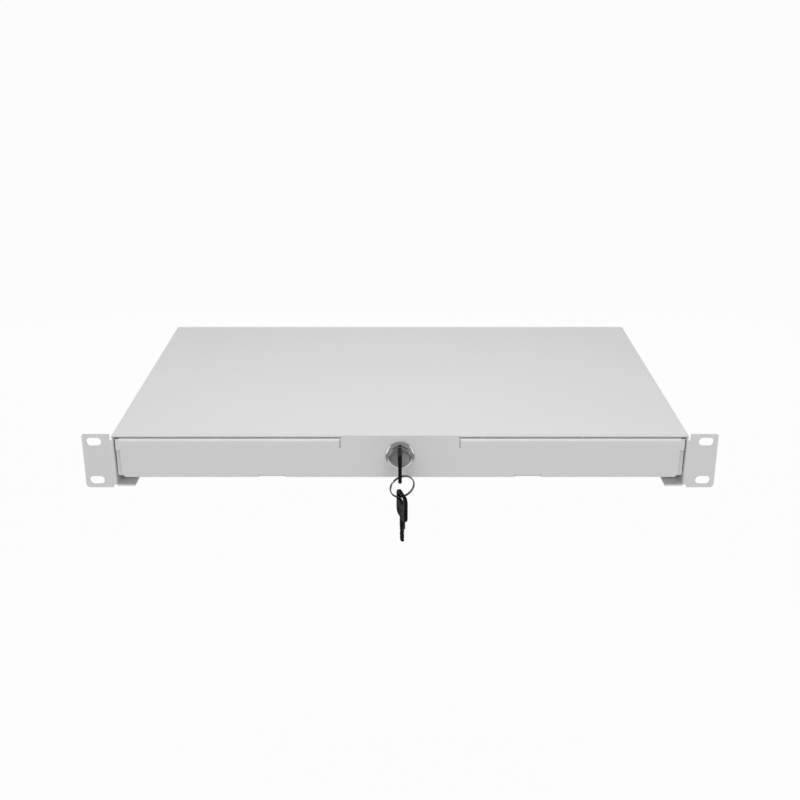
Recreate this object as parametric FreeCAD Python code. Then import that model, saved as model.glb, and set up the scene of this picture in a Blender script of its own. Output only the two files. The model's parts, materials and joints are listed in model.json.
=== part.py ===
"""Sliding drawer for one unit of a 19-inch rack.

Millimetres. +X is to the right, the front faces -Y and +Z is up. The origin is the centre of the
four ear slots, on the rear face of the ears, where they bear on the rack's uprights.
"""
import FreeCAD, Part
import math
import os

V = FreeCAD.Vector

# ---- Rack standard: ears and slots ----
RACK_WIDTH = 482.6
EAR_HEIGHT = 44.0
EAR_WIDTH = 21.3             # from the case's side to the ear's outer edge
SLOT_INSET = 8.75            # from the ear's outer edge to the slots' centres
SLOT_SPACING_Z = 31.75
SLOT_LENGTH = 11.4
SLOT_WIDTH = 6.8
EAR_TOP_CORNER = 1.5
EAR_BOTTOM_CORNER = 3.0
EAR_INNER_GAP = 0.6          # from the cover's side to the ear's free inner edge
EAR_TOP_RELIEF = 5.0         # height of the slit between ear and cover
EAR_BOTTOM_RELIEF = 2.2      # height of the notch between ear and bottom flange

# ---- Sheet metal ----
CASE_SHEET = 1.2
TRAY_SHEET = 1.0
BEND = 0.8                   # inside radius of every fold
WALL_START = 1.4             # front edge of the case walls

# ---- Case ----
COVER_FRONT = 0.3
COVER_DROP = 1.8             # from the ears' top edge down to the cover
COVER_FLANGE = 16.0
COVER_FLANGE_START = 4.0
WALL_TOP_GAP = 0.2           # below the cover's inside bend
BOTTOM_FLANGE = 14.4
REAR_FLANGE = 12.0
REAR_TOP_GAP = 0.4

# ---- Slides ----
SLIDE_WIDTH = 12.7
SLIDE_HEIGHT = 35.0
SLIDE_LENGTH = 250.0
SLIDE_START = 9.0
SLIDE_REAR_ROOM = 21.3       # from the slide's end to the case's rear
RAIL_SHEET = 1.2
MIDDLE_SHEET = 1.0
RETAINER_SHEET = 0.6
RACE_GAP = 0.1               # between a ball and its race
OUTER_BALL = 3.0
INNER_BALL = 2.5
OUTER_BALL_OFFSET = 5.2      # ball centres, from the case wall
INNER_BALL_OFFSET = 8.6
ROW_DROP = 3.0               # inner row below outer row
BALLS_PER_ROW = 3
RETAINER_LENGTH = 84.0
RETAINER_EDGE = 8.0          # last ball to the retainer's end
RACE_ENTRY = 140             # angle round the outer ball where the case member's race begins
RACE_RISE = 0.7              # slope that leads into it
LIP_ANGLE = 5
OUTER_LIP = 0.4
MIDDLE_SLOPE = 20            # slope of the flanges beside the other races, in degrees
MIDDLE_LIP_ANGLE = 20
INNER_LIP_ANGLE = 215
INNER_LIP = 0.2
MIDDLE_WEB = 2.7             # webs and edges below, from the case wall
OUTER_RETAINER_WEB = 1.6
OUTER_RETAINER_REACH = 6.5
INNER_RETAINER_WEB = 4.5
INNER_RETAINER_REACH = 9.6
OUTER_RETAINER_DROP = 0.35   # retainer's middle below the ball centres
INNER_RETAINER_DROP = 0.05
POCKET_GAP = 0.1

# ---- Drawer ----
TRAY_REAR_ROOM = 10.3        # from the tray's rear to the case's rear
TRAY_WALL_HEIGHT = 27.8
TRAY_FRONT_FLANGE = 12.0
TRAY_FRONT_FLANGE_HEIGHT = 20.0
TRAY_FRONT_FLANGE_RISE = 4.0
TRAY_SIDE_START = 1.6
TRAY_CORNER_GAP = 0.3
TRAY_REAR_LAP = 7.0
FRONT_TOP_GAP = 1.1          # under the cover
FRONT_HEIGHT = 31.2
FRONT_SIDE_GAP = 3.7         # from the top band's ends to the case's sides
FRONT_BAND_HEIGHT = 9.3
FRONT_BAND_STEP = 3.0        # the panel below the band is narrower at each end
FRONT_CORNER = 3.0
FRONT_RETURN = 7.0
FRONT_RETURN_END = 2.5       # short of the band's ends
RAISED_WIDTH = 90.0
RAISED_ABOVE_COVER = 0.8
RAISED_SLIT_WIDTH = 1.0
RAISED_SLIT_DEPTH = 7.0
TAB_SPACING = 196.0
TAB_WIDTH = 18.5
TAB_LENGTH = 16.0
TAB_RELIEF = 1.0

# ---- Lock ----
LOCK_HEIGHT = 5.2            # axis above the origin
BEZEL_DIAMETER = 22.9
BEZEL_RIM = 1.2
BEZEL_FRONT_DIAMETER = 18.8
BEZEL_DEPTH = 3.0
BODY_DIAMETER = 16.0
BODY_FLATS = 14.0
BODY_LENGTH = 16.6           # behind the drawer front
PLUG_HEAD_DIAMETER = 16.4
PLUG_HEAD_DEPTH = 2.5
PLUG_PROUD = 0.9             # in front of the bezel
PLUG_DIAMETER = 12.0
PLUG_CLEARANCE = 0.05
HEAD_CLEARANCE = 0.15
PLUG_SHOULDER = 0.6          # plug behind the body
PLUG_SQUARE = 7.6
PLUG_CHAMFER = 0.5
PLUG_END_WALL = 1.0          # between the keyway and the cam screw's hole
KEYWAY_SIDE_GAP = 0.2        # keyway over key blade
KEYWAY_EDGE_GAP = 0.4
KEYWAY_END_MARGIN = 0.7
WAFER_COUNT = 5
WAFER_THICKNESS = 0.9
WAFER_FIRST = 0.6            # behind the plug's head
WAFER_PITCH = 1.9
WAFER_GAP = 0.1
WAFER_SIDE = 1.4             # from the window to the wafer's sides and ends
WAFER_END = 1.0
WAFER_WINDOW_GAP = 0.3       # window over key blade
WASHER_DIAMETER = 22.0
WASHER_THICKNESS = 0.8
WASHER_TEETH = 16
WASHER_TOOTH = 1.4
TOOTH_RISE = 0.25            # a tooth's land starts and ends at these shares of its pitch
TOOTH_FALL = 0.65
NUT_FLATS = 19.0
NUT_THICKNESS = 4.0
NUT_CHAMFER = 1.0
NUT_GAP = 0.1
CAM_THICKNESS = 2.0
CAM_HUB_DIAMETER = 13.0
CAM_LENGTH = 13.3
CAM_WIDTH = 8.6
CAM_TIP_CORNER = 2.0
CAM_FIT = 0.05
CAM_WASHER_DIAMETER = 9.6
CAM_WASHER_THICKNESS = 0.6
CAM_SCREW_END_GAP = 0.5
STRIKE_WIDTH = 40.0
STRIKE_LEG = 12.0
STRIKE_DROP = 5.0
STRIKE_GAP = 0.7             # in front of the cam

# ---- Keys and ring ----
KEY_THICKNESS = 1.8
KEY_BLADE_WIDTH = 7.0
KEY_BLADE_LENGTH = 12.6      # in the plug, up to the stop
KEY_STOP_WIDTH = 2.2         # by which the stop stands out of the blade
KEY_STOP_GAP = 0.2           # between the stop and the plug
KEY_TANG = 7.0
KEY_TIP = 2.0
KEY_CUTS = (0.9, 1.4, 0.7, 1.2)
KEY_CUT_START = 1.6
HEAD_WIDTH = 22.4
HEAD_LENGTH = 20.4
HEAD_THICKNESS = 2.8
HEAD_CORNER = 4.6
HEAD_EDGE = 0.4
HEAD_OFFSET = 7.2            # plug face to the head
KEY_SLOT_WIDTH = 7.8
KEY_SLOT_CORNER = 1.1
KEY_SLOT_END_STRIP = 1.8
KEY_SLOT_SIDE_STRIP = 4.0
KEY_SLOT_EDGE = 0.5
RING_DIAMETER = 19.8
RING_WIRE = 0.9
RING_BEVEL = 0.26
RING_YAW = 21.0
RING_LEAN = 12.0
RING_HANG = 3.4              # wire centre above the middle of the strip it hangs on
RING_END_GAP = 1.6           # from the wire's centre to the slot's outer end
RING_HANG_ANGLE = 15         # from the ring's top to where it hangs
SPARE_HANG = 0.95            # wire centre below the strip that hangs on it
SPARE_HANG_ANGLE = 4         # from the ring's bottom to where the spare key hangs
SPARE_YAW = 16.0

# ---- Fasteners ----
M4 = 4.0
M4_CLEARANCE = 0.25          # hole over screw, on the radius
M4_TAPPED = 0.03
PAN_HEAD_DIAMETER = 7.6
PAN_HEAD_HEIGHT = 1.9
PAN_HEAD_TOP = 5.6           # flat middle of the head
PAN_HEAD_EDGE = 0.9
CROSS_SIZE = 4.0
CROSS_WIDTH = 0.9
CROSS_DEPTH = 1.0
RIVET_DIAMETER = 3.2
RIVET_HEAD_DIAMETER = 6.4
RIVET_HEAD_TOP = 3.6
RIVET_HEAD_HEIGHT = 1.1
RIVET_TAIL_DIAMETER = 4.4
RIVET_TAIL_HEIGHT = 1.8
RIVET_HEIGHTS = (-14.0, -4.0)
COVER_SCREW_INSET = 45.0     # from the cover's front and rear edges
COVER_SCREW_DROP = 10.0
RAIL_SCREW_INSET = 30.0      # from the slide's ends
FRONT_SCREW_SETBACK = 9.0
BUMPER_SPACING = 300.0
BUMPER_DIAMETER = 12.0
BUMPER_GAP = 0.4
BUMPER_STEM = 5.0
BUMPER_BARB = 7.0
BUMPER_BARB_LENGTH = 2.6
BUMPER_ROUND = 2.0

PAST = 1.0                   # how far a cutter runs past the face it starts from

# ---- Levels and planes that follow ----
case_width = RACK_WIDTH - 2 * EAR_WIDTH
slide_end = SLIDE_START + SLIDE_LENGTH
case_rear = slide_end + SLIDE_REAR_ROOM
tray_depth = case_rear - TRAY_REAR_ROOM
ear_top = EAR_HEIGHT / 2
ear_bottom = -EAR_HEIGHT / 2
cover_top = ear_top - COVER_DROP
cover_under = cover_top - CASE_SHEET
flange_top = ear_bottom + CASE_SHEET
wall_out = case_width / 2 - CASE_SHEET
wall_in = wall_out - CASE_SHEET
fold = BEND + CASE_SHEET / 2
tray_fold = BEND + TRAY_SHEET / 2
slide_z = (cover_under + flange_top) / 2
tray_half = wall_in - SLIDE_WIDTH
panel_front = -CASE_SHEET
band_top = cover_under - FRONT_TOP_GAP
front_bottom = band_top - FRONT_HEIGHT
band_bottom = band_top - FRONT_BAND_HEIGHT
tab_top = front_bottom + CASE_SHEET
tray_floor = tab_top + TRAY_SHEET
tray_top = tab_top + TRAY_WALL_HEIGHT
bezel_front = panel_front - BEZEL_DEPTH
plug_front = bezel_front - PLUG_PROUD
plug_head_back = plug_front + PLUG_HEAD_DEPTH
cam_front = BODY_LENGTH + PLUG_SHOULDER
cam_back = cam_front + CAM_THICKNESS
key_start = plug_front - HEAD_OFFSET
blade_start = HEAD_OFFSET - KEY_STOP_GAP
blade_end = blade_start + KEY_BLADE_LENGTH
keyway_end = key_start + blade_end + KEYWAY_END_MARGIN
keyway_width = KEY_THICKNESS + 2 * KEYWAY_SIDE_GAP
keyway_height = KEY_BLADE_WIDTH + 2 * KEYWAY_EDGE_GAP
window_width = KEY_THICKNESS + 2 * WAFER_WINDOW_GAP
window_height = KEY_BLADE_WIDTH + 2 * WAFER_WINDOW_GAP
wafer_width = window_width + 2 * WAFER_SIDE
wafer_height = window_height + 2 * WAFER_END
wafer_y = [plug_head_back + WAFER_FIRST + index * WAFER_PITCH for index in range(WAFER_COUNT)]
outer_ball_height = SLIDE_HEIGHT / 2 - OUTER_BALL / 2 - RACE_GAP - RAIL_SHEET
inner_ball_height = outer_ball_height - ROW_DROP
cover_screw_y = (COVER_FRONT + COVER_SCREW_INSET, case_rear - COVER_SCREW_INSET)
cover_screw_z = cover_top - COVER_SCREW_DROP
rail_screw_y = (SLIDE_START + RAIL_SCREW_INSET, slide_end - RAIL_SCREW_INSET)
rivet_y = case_rear - REAR_FLANGE / 2
tap_hole = M4 / 2 + M4_TAPPED
free_hole = M4 / 2 + M4_CLEARANCE
rivet_hole = RIVET_DIAMETER / 2 + M4_TAPPED
slot_half = HEAD_WIDTH / 2 - KEY_SLOT_SIDE_STRIP
slot_end = KEY_SLOT_END_STRIP - HEAD_LENGTH
slot_start = slot_end + KEY_SLOT_WIDTH


# ---- Drawing in a plane ----
def polar(centre, radius, degrees):
    angle = math.radians(degrees)
    return (centre[0] + radius * math.cos(angle), centre[1] + radius * math.sin(angle))


def bearing(start, end):
    return math.degrees(math.atan2(end[1] - start[1], end[0] - start[0]))


def folded(points, radius):
    """Centre line of a sheet: the points, with an arc (centre, radius, from, to) at each corner."""
    path = [points[0]]
    for before, corner, after in zip(points, points[1:], points[2:]):
        heading = bearing(before, corner)
        turn = (bearing(corner, after) - heading + 180) % 360 - 180
        side = math.copysign(1, turn)
        reach = radius / math.cos(math.radians(turn / 2))
        centre = polar(corner, reach, heading + turn / 2 + 90 * side)
        path.append((centre, radius, heading - 90 * side, heading - 90 * side + turn))
    path.append(points[-1])
    return path


def sheet_side(path, shift):
    """One side of a sheet, shift to the left of its centre line: points, and arcs as three points."""
    side = []
    for centre, radius, start, end in path[1:-1]:
        turned = radius - math.copysign(shift, (end - start) * shift)
        side.append([polar(centre, turned, angle) for angle in (start, (start + end) / 2, end)])
    first_turn = math.copysign(90, path[1][3] - path[1][2])
    last_turn = math.copysign(90, path[-2][3] - path[-2][2])
    first = polar(path[0], shift, path[1][2] + first_turn + 90)
    last = polar(path[-1], shift, path[-2][3] + last_turn + 90)
    return [[first]] + side + [[last]]


def outline(runs, place):
    """Closed face through runs of one point (a corner) or three points (an arc)."""
    edges = []
    cursor = runs[-1][-1]
    for run in runs:
        if math.dist(cursor, run[0]) > 1e-6:
            edges.append(Part.makeLine(place(*cursor), place(*run[0])))
        if len(run) == 3:
            edges.append(Part.Arc(*[place(*point) for point in run]).toShape())
        cursor = run[-1]
    return Part.Face(Part.Wire(edges))


def sheet(path, thickness, place, along):
    """Bent sheet of even thickness, drawn in a plane and run along a vector."""
    left = sheet_side(path, thickness / 2)
    right = sheet_side(path, -thickness / 2)
    back = [run[::-1] for run in right[::-1]]
    return outline(left + back, place).extrude(along)


def plane_xz(y):
    return lambda u, v: V(u, y, v)


def plane_xy(z):
    return lambda u, v: V(u, v, z)


def plane_yz(x):
    return lambda u, v: V(x, u, v)


def block(x0, x1, y0, y1, z0, z1):
    return Part.makeBox(x1 - x0, y1 - y0, z1 - z0, V(x0, y0, z0))


def rod(centre, direction, radius, length):
    return Part.makeCylinder(radius, length, centre, direction)


def placed(shape, position, rotation):
    moved = shape.copy()
    moved.Placement = FreeCAD.Placement(position, rotation)
    return moved


def turned(profile, origin, direction):
    """Solid of revolution. profile holds (distance along the axis, radius) points."""
    edges = []
    for start, end in zip(profile, profile[1:] + profile[:1]):
        edges.append(Part.makeLine(V(start[1], 0, start[0]), V(end[1], 0, end[0])))
    solid = Part.Face(Part.Wire(edges)).revolve(V(0, 0, 0), V(0, 0, 1), 360)
    return placed(solid, origin, FreeCAD.Rotation(V(0, 0, 1), direction))


def fuse(shapes):
    return shapes[0].multiFuse(shapes[1:]).removeSplitter() if len(shapes) > 1 else shapes[0]


def both_sides(shape):
    return [shape, shape.mirror(V(0, 0, 0), V(1, 0, 0))]


def cut_all(shape, cutters):
    for cutter in cutters:
        shape = shape.cut(cutter)
    return shape


def edges_along(shape, direction, test):
    """Straight edges of a shape along a direction whose centre passes a test."""
    found = []
    for edge in shape.Edges:
        if isinstance(edge.Curve, Part.Line) and test(edge.CenterOfMass):
            if edge.Curve.Direction.cross(direction).Length < 1e-6:
                found.append(edge)
    return found


def write(name, shapes):
    """Write one named node: a solid, or a group of separate solids."""
    solids = [solid for shape in shapes for solid in shape.Solids]
    body = solids[0] if len(solids) == 1 else Part.makeCompound(solids)
    body.exportStep("parts/" + name + ".step")
    print(name, len(solids), "solids", round(body.Volume, 1), "mm3", body.isValid())


# ---- Fasteners ----
def pan_screw(seat, direction, length):
    """Cross-recessed pan-head screw. seat is the point under its head; it runs along direction."""
    outward = direction.negative()
    edge = PAN_HEAD_DIAMETER / 2
    profile = [(-length, 0), (-length, M4 / 2), (0, M4 / 2), (0, edge), (PAN_HEAD_EDGE, edge)]
    profile += [(PAN_HEAD_HEIGHT, PAN_HEAD_TOP / 2), (PAN_HEAD_HEIGHT, 0)]
    screw = turned(profile, seat, outward)
    floor = PAN_HEAD_HEIGHT - CROSS_DEPTH
    for across, along in ((CROSS_SIZE, CROSS_WIDTH), (CROSS_WIDTH, CROSS_SIZE)):
        slot = block(-across / 2, across / 2, -along / 2, along / 2, floor, PAN_HEAD_HEIGHT + PAST)
        screw = screw.cut(placed(slot, seat, FreeCAD.Rotation(V(0, 0, 1), outward)))
    return screw


def rivet(x, y, z, grip):
    """Blind rivet on the right side, its head outside at x and its tail inside."""
    profile = [(-RIVET_HEAD_HEIGHT, 0), (-RIVET_HEAD_HEIGHT, RIVET_HEAD_TOP / 2)]
    profile += [(0, RIVET_HEAD_DIAMETER / 2), (0, RIVET_DIAMETER / 2), (grip, RIVET_DIAMETER / 2)]
    profile += [(grip, RIVET_TAIL_DIAMETER / 2), (grip + RIVET_TAIL_HEIGHT, RIVET_DIAMETER / 2)]
    profile += [(grip + RIVET_TAIL_HEIGHT, 0)]
    return turned(profile, V(x, y, z), V(-1, 0, 0))


def side_hole(x, y, z, radius, thickness):
    """Cutter for a hole through a wall of the right side whose inner face is at x."""
    return rod(V(x - PAST, y, z), V(1, 0, 0), radius, thickness + 2 * PAST)


def slot_prism(x, z, y0, y1):
    """Cutter for one rounded ear slot."""
    half = (SLOT_LENGTH - SLOT_WIDTH) / 2
    radius = SLOT_WIDTH / 2
    right_end = [polar((x + half, z), radius, angle) for angle in (-90, 0, 90)]
    left_end = [polar((x - half, z), radius, angle) for angle in (90, 180, 270)]
    return outline([right_end, left_end], plane_xz(y0)).extrude(V(0, y1 - y0, 0))


# ---- Case: brackets, cover, rear panel and strike ----
def right_bracket():
    wall_mid = wall_in + CASE_SHEET / 2
    bottom_mid = ear_bottom + CASE_SHEET / 2
    wall_top = cover_under - BEND - WALL_TOP_GAP
    corners = [(wall_mid, wall_top), (wall_mid, bottom_mid), (wall_out - BOTTOM_FLANGE, bottom_mid)]
    wall = sheet(folded(corners, fold), CASE_SHEET, plane_xz(WALL_START), V(0, case_rear - WALL_START, 0))
    bend_low = ear_bottom + EAR_BOTTOM_RELIEF
    bend_high = ear_top - EAR_TOP_RELIEF
    ear_mid = panel_front / 2
    ear_inner = case_width / 2 + EAR_INNER_GAP
    corners = [(ear_inner, ear_mid), (wall_mid, ear_mid), (wall_mid, WALL_START + BEND)]
    bend = sheet(folded(corners, fold), CASE_SHEET, plane_xy(bend_low), V(0, 0, bend_high - bend_low))
    ear = block(ear_inner, RACK_WIDTH / 2, panel_front, 0, ear_bottom, ear_top)
    ear_middle = (ear_inner + RACK_WIDTH / 2) / 2
    outer_top = edges_along(ear, V(0, 1, 0), lambda c: c.x > ear_middle and c.z > 0)
    ear = ear.makeFillet(EAR_TOP_CORNER, outer_top)
    outer_bottom = edges_along(ear, V(0, 1, 0), lambda c: c.x > ear_middle and c.z < 0)
    ear = ear.makeFillet(EAR_BOTTOM_CORNER, outer_bottom)
    cutters = []
    for z in (-SLOT_SPACING_Z / 2, SLOT_SPACING_Z / 2):
        cutters.append(slot_prism(RACK_WIDTH / 2 - SLOT_INSET, z, panel_front - PAST, PAST))
    for y in cover_screw_y:
        cutters.append(side_hole(wall_in, y, cover_screw_z, tap_hole, CASE_SHEET))
    for y in rail_screw_y:
        cutters.append(side_hole(wall_in, y, slide_z, free_hole, CASE_SHEET))
    for z in RIVET_HEIGHTS:
        cutters.append(side_hole(wall_in, rivet_y, z, rivet_hole, CASE_SHEET))
    return cut_all(fuse([wall, bend, ear]), cutters)


def top_cover():
    side = case_width / 2 - CASE_SHEET / 2
    top = cover_top - CASE_SHEET / 2
    low = cover_top - COVER_FLANGE
    corners = [(-side, low), (-side, top), (side, top), (side, low)]
    path = folded(corners, fold)
    cover = sheet(path, CASE_SHEET, plane_xz(COVER_FRONT), V(0, case_rear - COVER_FRONT, 0))
    relief = block(wall_out - BEND, case_width / 2 + PAST, COVER_FRONT - PAST, COVER_FLANGE_START,
                   low - PAST, cover_under)
    cutters = both_sides(relief)
    for y in cover_screw_y:
        cutters += both_sides(side_hole(wall_out, y, cover_screw_z, free_hole, CASE_SHEET))
    return cut_all(cover, cutters)


def rear_panel():
    side = wall_in - CASE_SHEET / 2
    back = case_rear - CASE_SHEET / 2
    flange_start = case_rear - REAR_FLANGE
    corners = [(side, flange_start), (side, back), (-side, back), (-side, flange_start)]
    low = flange_top + BEND
    height = cover_under - REAR_TOP_GAP - low
    panel = sheet(folded(corners, fold), CASE_SHEET, plane_xy(low), V(0, 0, height))
    cutters = []
    for z in RIVET_HEIGHTS:
        cutters += both_sides(side_hole(wall_in - CASE_SHEET, rivet_y, z, rivet_hole, CASE_SHEET))
    stem = V(BUMPER_SPACING / 2, case_rear - CASE_SHEET - PAST, slide_z)
    cutters += both_sides(rod(stem, V(0, 1, 0), BUMPER_STEM / 2 + M4_TAPPED, CASE_SHEET + 2 * PAST))
    return cut_all(panel, cutters)


def lock_strike():
    back = cam_front - STRIKE_GAP - CASE_SHEET / 2
    top = cover_under - CASE_SHEET / 2
    corners = [(back - STRIKE_LEG, top), (back, top), (back, cover_under - STRIKE_DROP)]
    start = -STRIKE_WIDTH / 2
    return sheet(folded(corners, fold), CASE_SHEET, plane_yz(start), V(STRIKE_WIDTH, 0, 0))


def bumper(x):
    """Push-in rubber buffer: a barb behind the rear panel, a stem through it, the pad in front."""
    face = case_rear - CASE_SHEET
    length = face - tray_depth - BUMPER_GAP
    pad = BUMPER_DIAMETER / 2
    profile = [(0, 0), (0, pad - BUMPER_ROUND), (BUMPER_ROUND / 2, pad), (length, pad)]
    profile += [(length, BUMPER_STEM / 2), (length + CASE_SHEET, BUMPER_STEM / 2)]
    profile += [(length + CASE_SHEET, BUMPER_BARB / 2)]
    profile += [(length + CASE_SHEET + BUMPER_BARB_LENGTH, BUMPER_STEM / 4)]
    profile += [(length + CASE_SHEET + BUMPER_BARB_LENGTH, 0)]
    return turned(profile, V(x, tray_depth + BUMPER_GAP, slide_z), V(0, 1, 0))


# ---- Slides: drawn for the right side, offset measured inwards from the case wall ----
def rail_plane(start):
    return lambda offset, height: V(wall_in - offset, start, slide_z + height)


def rail(path, thickness, start, length):
    """Rail of a half section given from its middle to its top lip, with the other half mirrored."""
    upper = sheet(path, thickness, rail_plane(start), V(0, length, 0))
    lower = upper.mirror(V(0, 0, slide_z), V(0, 0, 1))
    return fuse([upper, lower])


def outer_rail():
    """Case member: a channel whose flanges bulge round the outer balls and end in a lip."""
    race = OUTER_BALL / 2 + RACE_GAP + RAIL_SHEET / 2
    ball = (OUTER_BALL_OFFSET, outer_ball_height)
    web = RAIL_SHEET / 2
    join = polar(ball, race, RACE_ENTRY)
    knee = polar(join, -RACE_RISE, RACE_ENTRY - 90)
    corners = folded([(web, 0), (web, knee[1]), knee, join], fold)[1:3]
    lip = polar(polar(ball, race, LIP_ANGLE), OUTER_LIP, LIP_ANGLE - 90)
    path = [(web, 0)] + corners + [(ball, race, RACE_ENTRY, LIP_ANGLE), lip]
    member = rail(path, RAIL_SHEET, SLIDE_START, SLIDE_LENGTH)
    inside = wall_in - RAIL_SHEET
    return cut_all(member, [side_hole(inside, y, slide_z, tap_hole, RAIL_SHEET) for y in rail_screw_y])


def tangent(first, first_radius, second, second_radius):
    """Angle at which a sheet leaves a race for the race on its other side."""
    reach = math.dist(first, second)
    return bearing(first, second) - math.degrees(math.acos((first_radius + second_radius) / reach))


def middle_rail():
    """Intermediate member: its flange runs under the outer balls and over the inner ones."""
    outer = (OUTER_BALL_OFFSET, outer_ball_height)
    inner = (INNER_BALL_OFFSET, inner_ball_height)
    under = OUTER_BALL / 2 + RACE_GAP + MIDDLE_SHEET / 2
    over = INNER_BALL / 2 + RACE_GAP + MIDDLE_SHEET / 2
    web = MIDDLE_WEB + MIDDLE_SHEET / 2
    leave = tangent(outer, under, inner, over)
    entry = -90 - MIDDLE_SLOPE
    join = polar(outer, under, entry)
    lead = (web, join[1] + (join[0] - web) * math.tan(math.radians(MIDDLE_SLOPE)))
    corner = folded([(web, 0), lead, join], BEND)[1]
    lip = polar(polar(inner, over, MIDDLE_LIP_ANGLE), INNER_LIP, MIDDLE_LIP_ANGLE - 90)
    races = [(outer, under, entry, leave), (inner, over, leave + 180, MIDDLE_LIP_ANGLE)]
    return rail([(web, 0), corner] + races + [lip], MIDDLE_SHEET, SLIDE_START, SLIDE_LENGTH)


def inner_rail():
    """Drawer member: its web lies on the tray and its lips curl under the inner balls."""
    ball = (INNER_BALL_OFFSET, inner_ball_height)
    race = INNER_BALL / 2 + RACE_GAP + RAIL_SHEET / 2
    web = SLIDE_WIDTH - RAIL_SHEET / 2
    entry = 270 + MIDDLE_SLOPE
    join = polar(ball, race, entry)
    lead = (web, join[1] + (web - join[0]) * math.tan(math.radians(MIDDLE_SLOPE)))
    corner = folded([(web, 0), lead, join], fold)[1]
    lip = polar(polar(ball, race, INNER_LIP_ANGLE), INNER_LIP, INNER_LIP_ANGLE - 90)
    path = [(web, 0), corner, (ball, race, entry, INNER_LIP_ANGLE), lip]
    member = rail(path, RAIL_SHEET, SLIDE_START, SLIDE_LENGTH)
    return cut_all(member, [side_hole(tray_half, y, slide_z, tap_hole, RAIL_SHEET) for y in rail_screw_y])


def ball_places():
    """Places of the balls along the slide."""
    first = SLIDE_START + (SLIDE_LENGTH - RETAINER_LENGTH) / 2 + RETAINER_EDGE
    pitch = (RETAINER_LENGTH - 2 * RETAINER_EDGE) / (BALLS_PER_ROW - 1)
    return [first + index * pitch for index in range(BALLS_PER_ROW)]


def retainer(web, reach, level, ball_offset, ball_height, diameter):
    """Folded strip with a pocket for each ball."""
    start = SLIDE_START + (SLIDE_LENGTH - RETAINER_LENGTH) / 2
    middle = web + RETAINER_SHEET / 2
    bend = RETAINER_SHEET
    path = folded([(middle, 0), (middle, level), (reach, level)], bend)
    strip = rail(path, RETAINER_SHEET, start, RETAINER_LENGTH)
    pockets = []
    for y in ball_places():
        for height in (-ball_height, ball_height):
            low = V(wall_in - ball_offset, y, slide_z + height - diameter / 2)
            pockets.append(rod(low, V(0, 0, 1), diameter / 2 + POCKET_GAP, diameter))
    return cut_all(strip, pockets)


def outer_retainer():
    level = outer_ball_height - OUTER_RETAINER_DROP
    return retainer(OUTER_RETAINER_WEB, OUTER_RETAINER_REACH, level, OUTER_BALL_OFFSET,
                    outer_ball_height, OUTER_BALL)


def inner_retainer():
    level = inner_ball_height - INNER_RETAINER_DROP
    return retainer(INNER_RETAINER_WEB, INNER_RETAINER_REACH, level, INNER_BALL_OFFSET,
                    inner_ball_height, INNER_BALL)


def balls(offset, height, diameter):
    found = []
    for y in ball_places():
        for sign in (-1, 1):
            centre = V(wall_in - offset, y, slide_z + sign * height)
            found.append(Part.makeSphere(diameter / 2, centre))
    return found


# ---- Drawer: tray and front ----
def drawer_tray():
    side = tray_half - TRAY_SHEET / 2
    floor = tab_top + TRAY_SHEET / 2
    rear = tray_depth - TRAY_SHEET / 2
    side_end = tray_depth - TRAY_SHEET - BEND
    corners = [(-side, tray_top), (-side, floor), (side, floor), (side, tray_top)]
    channel = sheet(folded(corners, tray_fold), TRAY_SHEET, plane_xz(TRAY_SIDE_START),
                    V(0, side_end - TRAY_SIDE_START, 0))
    corners = [(side_end - TRAY_REAR_LAP, floor), (rear, floor), (rear, tray_top)]
    rear_half = tray_half - TRAY_SHEET - BEND - TRAY_CORNER_GAP
    back = sheet(folded(corners, tray_fold), TRAY_SHEET, plane_yz(-rear_half), V(2 * rear_half, 0, 0))
    front = TRAY_SHEET / 2
    corners = [(tray_half - TRAY_FRONT_FLANGE, front), (side, front), (side, TRAY_SIDE_START + BEND)]
    flange = sheet(folded(corners, tray_fold), TRAY_SHEET, plane_xy(tray_floor + TRAY_FRONT_FLANGE_RISE),
                   V(0, 0, TRAY_FRONT_FLANGE_HEIGHT))
    inside = tray_half - TRAY_SHEET
    cutters = both_sides(front_screw_hole(free_hole))
    for y in rail_screw_y:
        cutters += both_sides(side_hole(inside, y, slide_z, free_hole, TRAY_SHEET))
    return cut_all(fuse([channel, back] + both_sides(flange)), cutters)


def front_screw_hole(radius):
    start = V(TAB_SPACING / 2, FRONT_SCREW_SETBACK, front_bottom - PAST)
    return rod(start, V(0, 0, 1), radius, CASE_SHEET + TRAY_SHEET + 2 * PAST)


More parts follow.
